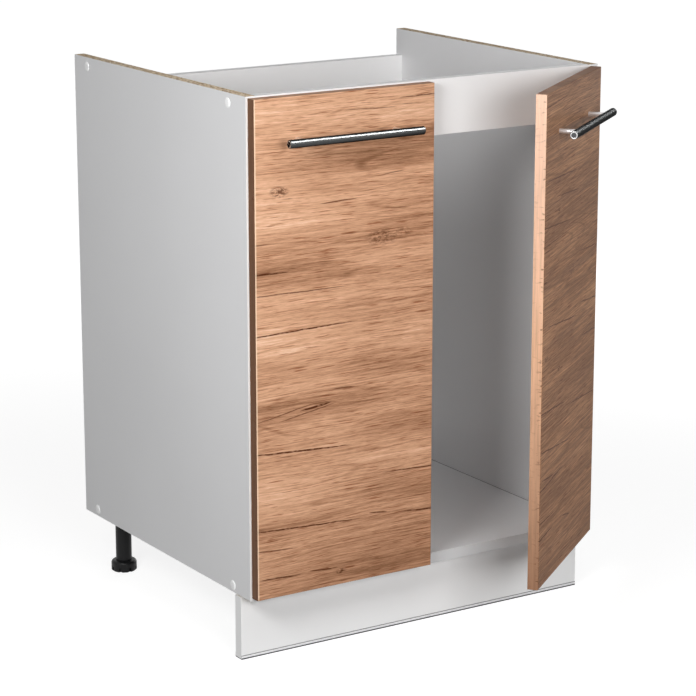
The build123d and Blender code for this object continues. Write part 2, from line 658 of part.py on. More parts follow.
def leg_screw_places(side, row):
    """The four screws round one leg's flange."""
    x = across(side, LEG_FROM_SIDE)
    wide, deep = LEG_FLANGE_WIDTH / 2 - LEG_SCREW_MARGIN, LEG_FLANGE_DEPTH / 2 - LEG_SCREW_MARGIN
    return [(x + dx, row + dy) for dx in (-wide, wide) for dy in (-deep, deep)]


def each_leg():
    """The side and depth of every leg."""
    return [(side, row) for side in SIDES.values() for row in LEG_ROWS.values()]


def leg_flanges():
    """The flanges under the bottom panel, each with a spigot that the column is pushed on to."""
    flanges = []
    for side, row in each_leg():
        x = across(side, LEG_FROM_SIDE)
        outline = Pos(x, row) * RectangleRounded(LEG_FLANGE_WIDTH, LEG_FLANGE_DEPTH, LEG_FLANGE_CORNER)
        body = plate(outline, COLUMN_TOP, LEG_HEIGHT)
        body += rod((x, row, COLUMN_TOP), (0, 0, -1), SPIGOT_RADIUS, SPIGOT_LENGTH)
        for hole_x, hole_y in leg_screw_places(side, row):
            body -= screw_hole((hole_x, hole_y, COLUMN_TOP), (0, 0, 1), LEG_SCREW, LEG_FLANGE)
        flanges.append(body)
    return flanges


def leg_columns():
    """The tubes of the legs: open at the top for the spigot, with a nut for the foot's stud below."""
    columns = []
    for side, row in each_leg():
        x = across(side, LEG_FROM_SIDE)
        bore_top = COLUMN_TOP - SPIGOT_LENGTH - SEAT_GAP
        body = rod((x, row, COLUMN_BOTTOM), (0, 0, 1), COLUMN_RADIUS, COLUMN_TOP - COLUMN_BOTTOM)
        body -= rod((x, row, COLUMN_TOP), (0, 0, -1), SPIGOT_RADIUS + FIXED_FIT, COLUMN_TOP - bore_top)
        body -= rod((x, row, COLUMN_BOTTOM), (0, 0, 1), STUD_RADIUS + RUNNING_FIT, bore_top - COLUMN_BOTTOM)
        columns.append(body)
    return columns


def leg_screws():
    """The screws that hold the leg flanges to the bottom panel."""
    length = LEG_FLANGE + LEG_SCREW_IN_BOARD - SEAT_GAP
    return [screw((x, y, COLUMN_TOP), (0, 0, 1), LEG_SCREW, length)
            for side, row in each_leg() for x, y in leg_screw_places(side, row)]


def foot(side, row):
    """A screw-in foot: a stud on a disc with a rounded shoulder and notches round its lower edge."""
    disc = Cylinder(FOOT_RADIUS, FOOT_HEIGHT, align=AT_BASE)
    disc = fillet(disc.edges().sort_by(Axis.Z)[-1], FOOT_SHOULDER)
    disc = chamfer(disc.edges().sort_by(Axis.Z)[0], FOOT_BEVEL)
    for number in range(NOTCH_COUNT):
        notch = Pos(FOOT_RADIUS, 0, 0) * Box(2 * NOTCH_DEPTH, NOTCH_WIDTH, 2 * NOTCH_HEIGHT)
        disc -= Rot(0, 0, 360 * number / NOTCH_COUNT) * notch
    stud = Cylinder(STUD_RADIUS, FOOT_HEIGHT + STUD_LENGTH, align=AT_BASE)
    return Pos(across(side, LEG_FROM_SIDE), row, 0) * (disc + stud)


# ---- Plinth ----

def plinth_board():
    """The board that closes the gap under the cabinet, with pilot holes for the clip screws."""
    board = block((across(-1, 0), across(1, 0)), (PLINTH_SETBACK, PLINTH_BACK),
                  (FLOOR_GAP + SEAL_FLOOR, LEG_HEIGHT - PLINTH_TOP_GAP))
    for side in SIDES.values():
        for x in clip_screw_places(side):
            board -= screw_hole((x, PLINTH_BACK, clip_middle()), (0, -1, 0), CLIP_SCREW,
                                CLIP_SCREW_IN_BOARD)
    return board


def plinth_seal():
    """The channel-shaped strip along the bottom edge of the plinth."""
    ends = (across(-1, 0), across(1, 0))
    channel = block(ends, (PLINTH_SETBACK - SEAL_THICKNESS, PLINTH_BACK + SEAL_THICKNESS),
                    (FLOOR_GAP, FLOOR_GAP + SEAL_HEIGHT))
    return channel - block(ends, (PLINTH_SETBACK, PLINTH_BACK),
                           (FLOOR_GAP + SEAL_FLOOR, FLOOR_GAP + SEAL_HEIGHT))


def clip_middle():
    """Height of the middle of a plinth clip."""
    return CLIP_BOTTOM + CLIP_HEIGHT / 2


def clip_screw_places(side):
    """The x positions of the two screws of a plinth clip."""
    x = across(side, LEG_FROM_SIDE)
    return (x - CLIP_SCREW_SPACING / 2, x + CLIP_SCREW_SPACING / 2)


def plinth_clips():
    """The clips on the back of the plinth, whose jaws pass round the front legs."""
    inner = COLUMN_RADIUS + CLIP_FIT
    outer = inner + CLIP_THICKNESS
    row = LEG_ROWS["front"]
    to_plinth = row - PLINTH_BACK
    shape = Circle(outer) + Pos(0, CLIP_REACH / 2) * Rectangle(2 * outer, CLIP_REACH)
    shape -= Pos(0, CLIP_REACH + outer / 2) * Rectangle(2 * outer, outer)
    shape += Pos(0, -to_plinth / 2) * Rectangle(CLIP_NECK_WIDTH, to_plinth)
    shape += Pos(0, CLIP_BASE / 2 - to_plinth) * Rectangle(CLIP_BASE_WIDTH, CLIP_BASE)
    shape -= Circle(inner)
    shape -= Pos(0, outer / 2) * Rectangle(2 * inner, outer)
    clips = []
    jaws = plate(shape, CLIP_BOTTOM, CLIP_BOTTOM + CLIP_HEIGHT)
    for side in SIDES.values():
        body = Pos(across(side, LEG_FROM_SIDE), row, 0) * jaws
        for hole_x in clip_screw_places(side):
            body -= screw_hole((hole_x, PLINTH_BACK, clip_middle()), (0, 1, 0), CLIP_SCREW, CLIP_BASE)
        clips.append(body)
    return clips


def clip_screws():
    """The screws that hold the clips to the plinth."""
    length = CLIP_BASE + CLIP_SCREW_IN_BOARD - SEAT_GAP
    return [screw((x, PLINTH_BACK + CLIP_BASE, clip_middle()), (0, -1, 0), CLIP_SCREW, length)
            for side in SIDES.values() for x in clip_screw_places(side)]


# ---- Assembly ----

def build():
    """Every node by name, each a list of separate solids."""
    front_joint, rear_joint = rail_joints()
    nodes = {
        "bottom_panel": [bottom_panel()],
        "front_rail": [rail(*front_joint)],
        "rear_rail": [rail(*rear_joint)],
        "carcass_edge_bands": carcass_bands(),
        "joint_screws": joint_screws(),
        "screw_caps": screw_caps(),
        "rail_cams": rail_cams(),
        "cam_bolts": cam_bolts(),
        "dowels": dowels(),
        "leg_flanges": leg_flanges(),
        "leg_columns": leg_columns(),
        "leg_screws": leg_screws(),
        "plinth_board": [plinth_board()],
        "plinth_seal": [plinth_seal()],
        "plinth_clips": plinth_clips(),
        "clip_screws": clip_screws(),
    }
    for name, side in SIDES.items():
        nodes[f"side_panel_{name}"] = [side_panel(side)]
        nodes[f"door_{name}"] = [door_panel(side)]
        nodes[f"door_edge_bands_{name}"] = door_bands(side)
        nodes[f"handle_bar_{name}"] = [handle_bar(side)]
        nodes[f"handle_posts_{name}"] = handle_posts(side)
        nodes[f"handle_screws_{name}"] = handle_screws(side)
        nodes[f"hinge_plates_{name}"] = hinge_plates(side)
        nodes[f"hinge_plate_screws_{name}"] = plate_screws(side)
        nodes[f"hinge_arms_{name}"] = hinge_arms(side)
        nodes[f"hinge_arm_pins_{name}"] = arm_pins(side)
        nodes[f"hinge_arm_screws_{name}"] = arm_screws(side)
        nodes[f"hinge_links_{name}"] = hinge_links(side)
        nodes[f"hinge_link_pins_{name}"] = cup_pins(side)
        nodes[f"hinge_cups_{name}"] = hinge_cups(side)
        nodes[f"hinge_cup_screws_{name}"] = cup_screws(side)
        for place, row in LEG_ROWS.items():
            nodes[f"foot_{place}_{name}"] = [foot(side, row)]
    return nodes


def to_origin(nodes):
    """The move that puts the origin on the floor, under the middle of the whole cabinet's box."""
    bounds = Compound(children=[Compound(children=solids) for solids in nodes.values()]).bounding_box()
    return Pos(-bounds.center().X, -bounds.center().Y, -bounds.min.Z)


NODES = build()
ORIGIN = to_origin(NODES)

os.makedirs("parts", exist_ok=True)
for node, solids in NODES.items():
    export_step(ORIGIN * Compound(children=solids), f"parts/{node}.step")
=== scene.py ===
import math

import bpy
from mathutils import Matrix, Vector


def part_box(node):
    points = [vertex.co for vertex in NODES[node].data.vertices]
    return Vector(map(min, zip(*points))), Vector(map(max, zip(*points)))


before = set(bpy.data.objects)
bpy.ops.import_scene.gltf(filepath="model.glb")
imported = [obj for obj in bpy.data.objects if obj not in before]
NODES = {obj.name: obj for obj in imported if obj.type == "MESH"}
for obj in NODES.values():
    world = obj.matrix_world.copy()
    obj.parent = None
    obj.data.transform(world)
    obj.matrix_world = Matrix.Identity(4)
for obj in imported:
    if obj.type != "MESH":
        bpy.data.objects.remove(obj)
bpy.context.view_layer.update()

SIDES = {"left": -1, "right": 1}
AXES = "xyz"
MILLIMETRE = 0.001
WHITE_LIGHT = (1.0, 1.0, 1.0, 1.0)


def srgb(red, green, blue):
    """A colour written as it looks on screen, 0 to 255, as the linear values that Blender takes."""
    def linear(value):
        share = value / 255
        return share / 12.92 if share <= 0.04045 else ((share + 0.055) / 1.055) ** 2.4
    return (linear(red), linear(green), linear(blue), 1.0)


# ---- Camera, set to the photograph's viewing angle ----

CAMERA_PLACE = (-2.043, -3.1379, 1.3382)
CAMERA_YAW = 32.603         # to the right of straight ahead
CAMERA_PITCH = 14.158       # downwards
CAMERA_LENS = 133.205       # millimetres
SENSOR_WIDTH = 36.0

camera_data = bpy.data.cameras.new("camera")
camera_data.sensor_width = SENSOR_WIDTH
camera_data.lens = CAMERA_LENS
camera = bpy.data.objects.new("camera", camera_data)
camera.location = CAMERA_PLACE
camera.rotation_euler = (math.radians(90 - CAMERA_PITCH), 0, math.radians(-CAMERA_YAW))
bpy.context.scene.collection.objects.link(camera)
bpy.context.scene.camera = camera
bpy.context.scene.view_settings.view_transform = "Standard"


# ---- Node helper ----

NOISE_LOW = 0.3             # a noise lies mostly between these two
NOISE_HIGH = 0.7
NOISE_MIDDLE = 0.5
MIX_INPUTS = (0, 6, 7)      # the Mix node's share and two colours
MIX_RESULT = 2
NUMBER_RESULTS = ("LENGTH", "DOT_PRODUCT")      # Vector Math operations that give one number


class Surface:
    """A material with one Principled shader, and short ways to build the nodes that feed it."""

    def __init__(self, name):
        self.material = bpy.data.materials.new(name)
        self.material.use_nodes = True
        self.tree = self.material.node_tree
        self.shader = self.tree.nodes["Principled BSDF"]

    def add(self, kind, **settings):
        """A new node of this kind, with its own settings."""
        node = self.tree.nodes.new(kind)
        for name, value in settings.items():
            setattr(node, name, value)
        return node

    def put(self, socket, value):
        """Feeds a socket with another socket, or sets its value."""
        if isinstance(value, bpy.types.NodeSocket):
            self.tree.links.new(value, socket)
        else:
            socket.default_value = value

    def set(self, **values):
        """Feeds inputs of the shader by name, with _ for a space."""
        for name, value in values.items():
            self.put(self.shader.inputs[name.replace("_", " ")], value)

    def math(self, operation, *values, clamp=False):
        """A Math node's result."""
        node = self.add("ShaderNodeMath", operation=operation, use_clamp=clamp)
        for socket, value in zip(node.inputs, values):
            self.put(socket, value)
        return node.outputs[0]

    def vector(self, operation, *vectors):
        """A Vector Math node's result."""
        node = self.add("ShaderNodeVectorMath", operation=operation)
        for socket, value in zip(node.inputs, vectors):
            self.put(socket, value)
        return node.outputs["Value" if operation in NUMBER_RESULTS else "Vector"]

    def spread(self, value, low, high, to_low=0.0, to_high=1.0, smooth=False):
        """A value brought from between low and high to between to_low and to_high, and kept there."""
        kind = "SMOOTHSTEP" if smooth else "LINEAR"
        node = self.add("ShaderNodeMapRange", interpolation_type=kind, clamp=True)
        for name, number in (("Value", value), ("From Min", low), ("From Max", high),
                             ("To Min", to_low), ("To Max", to_high)):
            self.put(node.inputs[name], number)
        return node.outputs["Result"]

    def vary(self, noise, low=0.0, high=1.0):
        """A value between two limits that follows a noise."""
        return self.spread(noise, NOISE_LOW, NOISE_HIGH, low, high)

    def moved(self, value, noise, reach):
        """A value that a noise moves up and down."""
        return self.math("MULTIPLY_ADD", self.math("SUBTRACT", noise, NOISE_MIDDLE), reach, value)

    def mix(self, share, first, second, blend="MIX"):
        """One colour over another."""
        node = self.add("ShaderNodeMix", data_type="RGBA", blend_type=blend)
        for index, value in zip(MIX_INPUTS, (share, first, second)):
            self.put(node.inputs[index], value)
        return node.outputs[MIX_RESULT]

    def shaded(self, colour, share):
        """A colour made darker or lighter by a share."""
        return self.mix(1.0, colour, self.joined(share, share, share), "MULTIPLY")

    def texture_space(self, name="Object"):
        """The object's own coordinates, which are the cabinet's at rest, or its normals."""
        return self.add("ShaderNodeTexCoord").outputs[name]

    def parts(self, vector):
        """The x, y and z of a vector."""
        node = self.add("ShaderNodeSeparateXYZ")
        self.put(node.inputs[0], vector)
        return tuple(node.outputs)

    def joined(self, x, y, z):
        """A vector made of three values."""
        node = self.add("ShaderNodeCombineXYZ")
        for socket, value in zip(node.inputs, (x, y, z)):
            self.put(socket, value)
        return node.outputs[0]

    def noise(self, vector, scale, detail=2.0, roughness=0.5):
        """Smooth noise, its scale in waves a metre: one number, or three, one for each axis."""
        if isinstance(scale, tuple):
            vector = self.vector("MULTIPLY", vector, scale)
            scale = 1.0
        node = self.add("ShaderNodeTexNoise")
        for name, value in (("Vector", vector), ("Scale", scale), ("Detail", detail),
                            ("Roughness", roughness)):
            self.put(node.inputs[name], value)
        return node.outputs["Fac"]

    def ramp(self, value, stops):
        """A colour ramp through (place, colour) stops."""
        node = self.add("ShaderNodeValToRGB")
        elements = node.color_ramp.elements
        while len(elements) < len(stops):
            elements.new(0.5)       # every stop gets its own place below
        for element, (place, colour) in zip(elements, stops):
            element.position = place
            element.color = colour
        self.put(node.inputs[0], value)
        return node.outputs[0]

    def bump(self, height, distance):
        """Small relief, its height in metres."""
        node = self.add("ShaderNodeBump")
        self.put(node.inputs["Distance"], distance)
        self.put(node.inputs["Height"], height)
        self.put(self.shader.inputs["Normal"], node.outputs[0])


# ---- White boards ----

MELAMINE = srgb(233, 233, 234)
BAND_WHITE = srgb(246, 246, 246)
# A greyer white on the floor's front band: painted shade where it lies behind the doors.
FLOOR_BAND_SHADE = srgb(212, 213, 214)
# Whiter than the other boards: painted light on the rear rail and the plinth.
PAINTED_LIGHT_WHITE = srgb(253, 253, 253)
# Painted shade: a dark line in the corners where the floor meets the sides.
CORNER_SHADE = srgb(100, 99, 102)
CORNER_SHADE_WIDTH = 0.0014         # of the dark line painted as shade in the corners where the floor meets the sides
CLOUD = (3.0, 2.0)          # noise of a white board's patches: its scale and detail
CLOUD_RANGE = (0.35, 0.65)  # of that noise, from the darkest patches to the plain board
CLOUD_SHADE = 0.96          # the darkest patches, as a share of the board's colour
PEARL = (1400.0, 1.0)       # noise of its fine texture
PEARL_RELIEF = 0.00002
BOARD_ROUGHNESS = (0.34, 0.42)

CHIP_STOPS = [(0.0, srgb(104, 78, 54)), (0.22, srgb(168, 134, 98)), (0.36, srgb(226, 198, 160)),
              (0.65, srgb(246, 226, 194)), (1.0, srgb(254, 244, 224))]
CHIP_LENGTHWISE = 230.0     # chips a metre, along the board and through its thickness
CHIP_THROUGH = 480.0
DUST = (900.0, 3.0, 0.7)    # fine noise over the chips: its scale, detail and roughness
CHIP_SHARE = 0.7            # what the chips and the dust give to the tone
DUST_SHARE = 0.3
RAW_FACING = 0.7            # part of a normal along an axis, on a face that points that way
RAW_ROUGHNESS = 0.45        # how much rougher raw chipboard is
RAW_RELIEF = 0.0004
RAW_PEARL = 0.05            # the pearl's share of that relief


def chipboard(surface, place, thin):
    """The tone of raw chipboard, on a board that is thin along the named axis."""
    chips = surface.add("ShaderNodeTexVoronoi")
    pitch = [CHIP_THROUGH if axis == thin else CHIP_LENGTHWISE for axis in AXES]
    surface.put(chips.inputs["Vector"], surface.vector("MULTIPLY", place, pitch))
    surface.put(chips.inputs["Scale"], 1.0)
    chip = surface.parts(chips.outputs["Color"])[0]
    dust = surface.noise(place, *DUST)
    return surface.math("ADD", surface.math("MULTIPLY", chip, CHIP_SHARE),
                        surface.math("MULTIPLY", dust, DUST_SHARE))


def melamine(name, white, raw_faces="", thin="", corner_shade_at=None, low=None):
    """White melamine, with raw chipboard on the faces that point along the named axes of a board that is
    thin along its own named axis. On both sides of the middle, beyond the given corner distance, it has
    a dark line of painted shade in the corners, and inside the half width and height of low it has a
    greyer white painted as shade.
    """
    surface = Surface(name)
    place = surface.texture_space()
    cloud = surface.noise(place, *CLOUD)
    colour = surface.shaded(white, surface.spread(cloud, *CLOUD_RANGE, CLOUD_SHADE, 1.0))
    across, _, height = surface.parts(place)
    from_middle = surface.math("ABSOLUTE", across)
    # Painted shade: a dark line along both ends of the floor, in the corners beside the sides.
    if corner_shade_at:
        colour = surface.mix(surface.math("GREATER_THAN", from_middle, corner_shade_at), colour, CORNER_SHADE)
    # The greyer white inside low is painted shade on the floor's front band.
    if low:
        half_width, top, shade_white = low
        inside = surface.math("MULTIPLY", surface.math("LESS_THAN", from_middle, half_width),
                              surface.math("LESS_THAN", height, top))
        colour = surface.mix(inside, colour, shade_white)
    pearl = surface.noise(place, *PEARL)
    roughness = surface.vary(pearl, *BOARD_ROUGHNESS)
    if raw_faces:
        facing = surface.parts(surface.texture_space("Normal"))
        raw = 0.0
        for axis in raw_faces:
            along = surface.math("ABSOLUTE", facing[AXES.index(axis)])
            raw = surface.math("MAXIMUM", raw, surface.math("GREATER_THAN", along, RAW_FACING))
        chips = chipboard(surface, place, thin)
        colour = surface.mix(raw, colour, surface.ramp(chips, CHIP_STOPS))
        roughness = surface.math("ADD", roughness, surface.math("MULTIPLY", raw, RAW_ROUGHNESS))
        surface.bump(surface.math("ADD", surface.math("MULTIPLY", pearl, RAW_PEARL),
                                  surface.math("MULTIPLY", raw, chips)), RAW_RELIEF)
    else:
        surface.bump(pearl, PEARL_RELIEF)
    surface.set(Base_Color=colour, Roughness=roughness)
    return surface.material


# ---- Oak decor ----

OAK_STOPS = [(0.0, srgb(140, 98, 70)), (0.35, srgb(186, 138, 106)), (0.6, srgb(212, 163, 129)),
             (0.85, srgb(231, 182, 148)), (1.0, srgb(243, 202, 171))]
TONE_RANGE = (-0.15, 0.10)  # the tones at the two ends of those stops
OAK_PORE = srgb(176, 138, 110)
OAK_CRACK = srgb(84, 42, 18)
# The free edge's colours, from the lower to the upper end of the door: painted light, paler than the
# hinges' edge, darkening towards the bottom as painted shade.
OAK_FREE_EDGE_PAINTED_LIGHT = [(0.0, srgb(158, 118, 92)), (0.5, srgb(230, 182, 148)), (1.0, srgb(250, 208, 182))]
# The hinges' edge, darkened as painted shade.
OAK_HINGE_EDGE_SHADE = srgb(116, 82, 60)
OAK_END_SHADE = 0.5          # how far painted shade takes the upper and lower edges towards the hinges' edge
# A painted highlight along the rounded edge beside the hinges.
OAK_ARRIS_HIGHLIGHT = srgb(250, 222, 192)
ARRIS_HIGHLIGHT_WIDTH = 0.0022        # of the painted highlight beside the hinges' edge
ARRIS_HIGHLIGHT_SHARE = 0.6           # how much it covers the grain
OAK_ROUGHNESS = (0.50, 0.62)
OAK_GLOSS = 0.12
OAK_RELIEF = 0.00025
FIBRE_RELIEF = 0.5          # shares of that relief that fibres add and marks take away
MARK_RELIEF = 0.3
EDGE_FACING = 0.75          # part of a normal along an axis, on an edge that points that way
EDGE_SHADES = (0.78, 1.08)  # the darkest and lightest strips of an upright edge

# How much lighter each door's wood is than the middle tone, at its lower and at its upper end: partly
# the wood's own tone, partly painted light and shade, lighter towards the top and darker on the right
# door.
OAK_TONES_AND_SHADE = {"left": (-0.048, 0.028), "right": (-0.108, -0.096)}
# The fine flecks of each door: how much they show, and how many there are in a metre across.
OAK_FLECKS = {"left": (0.32, 26.0), "right": (0.46, 12.0)}
# The right door's tint darkens and yellows it as painted shade.
OAK_SHADE_TINTS = {"left": (1.0, 1.0, 1.0, 1.0), "right": (0.99, 0.97, 0.88, 1.0)}
DOOR_HEIGHTS = (0.1, 0.81)  # lower and upper end of the doors, above the floor

# Noises of the wood: waves a metre across, through and up the shut door, then detail and roughness.
DRIFT = ((3.0, 3.0, 7.0), 2.0)
WOBBLE = ((45.0, 10.0, 60.0), 3.0)
ZONES = ((2.4, 2.4, 12.0), 2.0, 0.5)
BOARDS = ((1.4, 1.4, 34.0), 3.0, 0.6)
FIBRES = ((1.8, 1.8, 290.0), 5.0, 0.85)
PORES = ((24.0, 24.0, 600.0), 2.0, 0.6)
GROWTH = ((1.0, 1.0, 10.0), 1.5, 0.45)
FADING = ((9.0, 9.0, 36.0), 1.0)
SPLITS = ((11.0, 11.0, 300.0), 3.0, 0.6)
SPECKLE = ((170.0, 170.0, 420.0), 2.0, 0.6)
BREAKS = ((120.0, 120.0, 300.0), 2.0)
UPRIGHT = ((300.0, 300.0, 14.0), 3.0, 0.6)
TICKS = ((110.0, 110.0, 300.0), 2.0, 0.5)
FLECK_FINENESS = 480.0      # the flecks' waves a metre up the door
FLECK_NOISE = (3.0, 0.8)    # their detail and roughness

ZONE_WEIGHT = 0.25          # how much each layer changes the tone
BOARD_WEIGHT = 0.20
FIBRE_WEIGHT = 0.27
RING_WEIGHT = -0.05
RINGS = 26.0                # growth lines over the whole range of their noise
RING_REACH = 0.5            # from the middle of one line to halfway to the next

# Where a mark starts and ends in its noise or distance, then what it gives at the two if that isn't
# 0 and 1.
RING_RANGE = (0.02, 0.11, 1.0, 0.0)
FADING_RANGE = (0.42, 0.58)
PORE_RANGE = (0.32, 0.42, 0.85, 0.0)
SPLIT_RANGE = (0.31, 0.25, 0.0, 0.8)
SPECKLE_RANGE = (0.58, 0.44)
BREAK_RANGE = (0.36, 0.5, 0.6, 1.0)
TICK_RANGE = (0.40, 0.30)
TICK_DEPTHS = (0.0, 0.008, 0.9, 0.15)       # behind the door's face

# Long cracks and seams of each door: start and end across the shut door and above the floor, in
# millimetres, then the half width and how dark it is. A start or end past the door's edge runs out.
CRACKS = {
    "left": [
        (-156, 789, -66, 787, 1.2, 0.72), (-64, 799, 30, 801, 1.9, 0.83),
        (-93, 693, -54, 696, 1.5, 0.66), (-194, 662, -131, 664, 1.8, 0.77),
        (-330, 573, -244, 572, 2.5, 1.0), (-330, 543, -150, 541, 1.6, 0.83),
        (-330, 485, -132, 489, 2.0, 1.0), (-330, 614, -276, 614, 1.9, 0.66),
        (-228, 370, -176, 376, 3.2, 1.0), (-300, 362, -200, 379, 1.6, 0.77),
        (-262, 359, -168, 374, 1.5, 0.77), (-172, 395, -134, 393, 1.8, 0.77),
        (-330, 318, -140, 308, 2.4, 1.0), (-90, 258, 30, 254, 1.9, 0.88),
        (-330, 205, -120, 195, 2.0, 1.0), (-112, 201, -80, 198, 2.0, 0.88),
        (-62, 194, 30, 187, 2.0, 0.94), (-330, 177, -232, 170, 1.9, 0.77),
        (-296, 132, -226, 129, 2.2, 0.94), (-214, 131, -164, 128, 2.0, 0.88),
    ],
    "right": [
        (-30, 795, 120, 800, 1.6, 0.77), (10, 693, 170, 685, 1.9, 0.94),
        (60, 664, 190, 653, 1.6, 0.83), (-30, 631, 140, 617, 1.9, 0.88),
        (-30, 601, 100, 602, 1.6, 0.83), (-30, 553, 24, 549, 2.2, 1.0),
        (24, 483, 190, 465, 1.8, 0.94), (205, 481, 330, 467, 2.0, 0.88),
        (216, 428, 330, 420, 1.8, 0.88), (-30, 365, 130, 350, 2.0, 0.99),
        (-30, 309, 170, 284, 1.8, 0.94), (10, 262, 76, 255, 2.0, 0.99),
        (-30, 246, 130, 254, 1.9, 0.94), (-30, 201, 92, 197, 1.9, 0.94),
        (-30, 174, 80, 177, 2.1, 1.0), (124, 178, 170, 168, 1.9, 0.88),
        (190, 560, 330, 548, 1.8, 0.77), (150, 340, 330, 322, 1.8, 0.83),
    ],
}
CRACK_WIDTHS = 0.72         # share of the half widths above
CRACK_TAPER = 3.0           # how late a crack narrows towards its ends
CRACK_EDGE = 1.9            # how steeply a crack darkens from its rim
NO_WIDTH = 1e-6             # of a crack past its ends
GRAIN_DRIFT = 0.012         # how far the grain runs up and down
CRACK_WOBBLE = 0.0025

# Soft spots of each door: across and above the floor, then their half width and half height, all in
# millimetres, and their strength. A knot is dark by its strength, a patch changes the tone by it.
KNOTS = {
    "left": [(-259, 685, 18, 10, 0.9), (-90, 604, 34, 15, 0.7), (-56, 608, 20, 9, 0.5),
             (-159, 122, 11, 5, 1.0)],
    "right": [(77, 641, 11, 5, 0.9), (24, 438, 11, 5, 0.9), (92, 408, 11, 5, 0.8),
              (150, 540, 26, 12, 0.5)],
}
PATCHES_AND_HANDLE_SHADOW = {
    # The first patch on the left door is a painted shadow under the handle.
    "left": [(-60, 735, 150, 45, -0.07), (-190, 700, 100, 35, -0.04), (-240, 567, 130, 24, -0.055),
             (-60, 418, 130, 34, -0.06), (-200, 380, 180, 28, -0.05), (-50, 322, 120, 24, -0.05),
             (-50, 232, 140, 28, -0.045), (-150, 150, 240, 60, -0.04), (-250, 655, 110, 34, 0.02),
             (-240, 478, 130, 34, 0.04), (-250, 260, 140, 32, 0.03), (-150, 650, 260, 130, -0.03),
             (-150, 490, 260, 90, -0.03), (-150, 270, 260, 110, 0.02)],
    "right": [(80, 700, 120, 30, -0.03), (200, 590, 140, 30, 0.03), (90, 430, 130, 34, -0.04),
              (220, 330, 140, 36, 0.03), (80, 230, 130, 30, -0.03)],
}

DOOR_PIVOT = (0.2907, -0.018)   # from the cabinet's middle, and from the carcass's front
DOOR_OPEN = {"left": 0.0, "right": 37.6}    # degrees


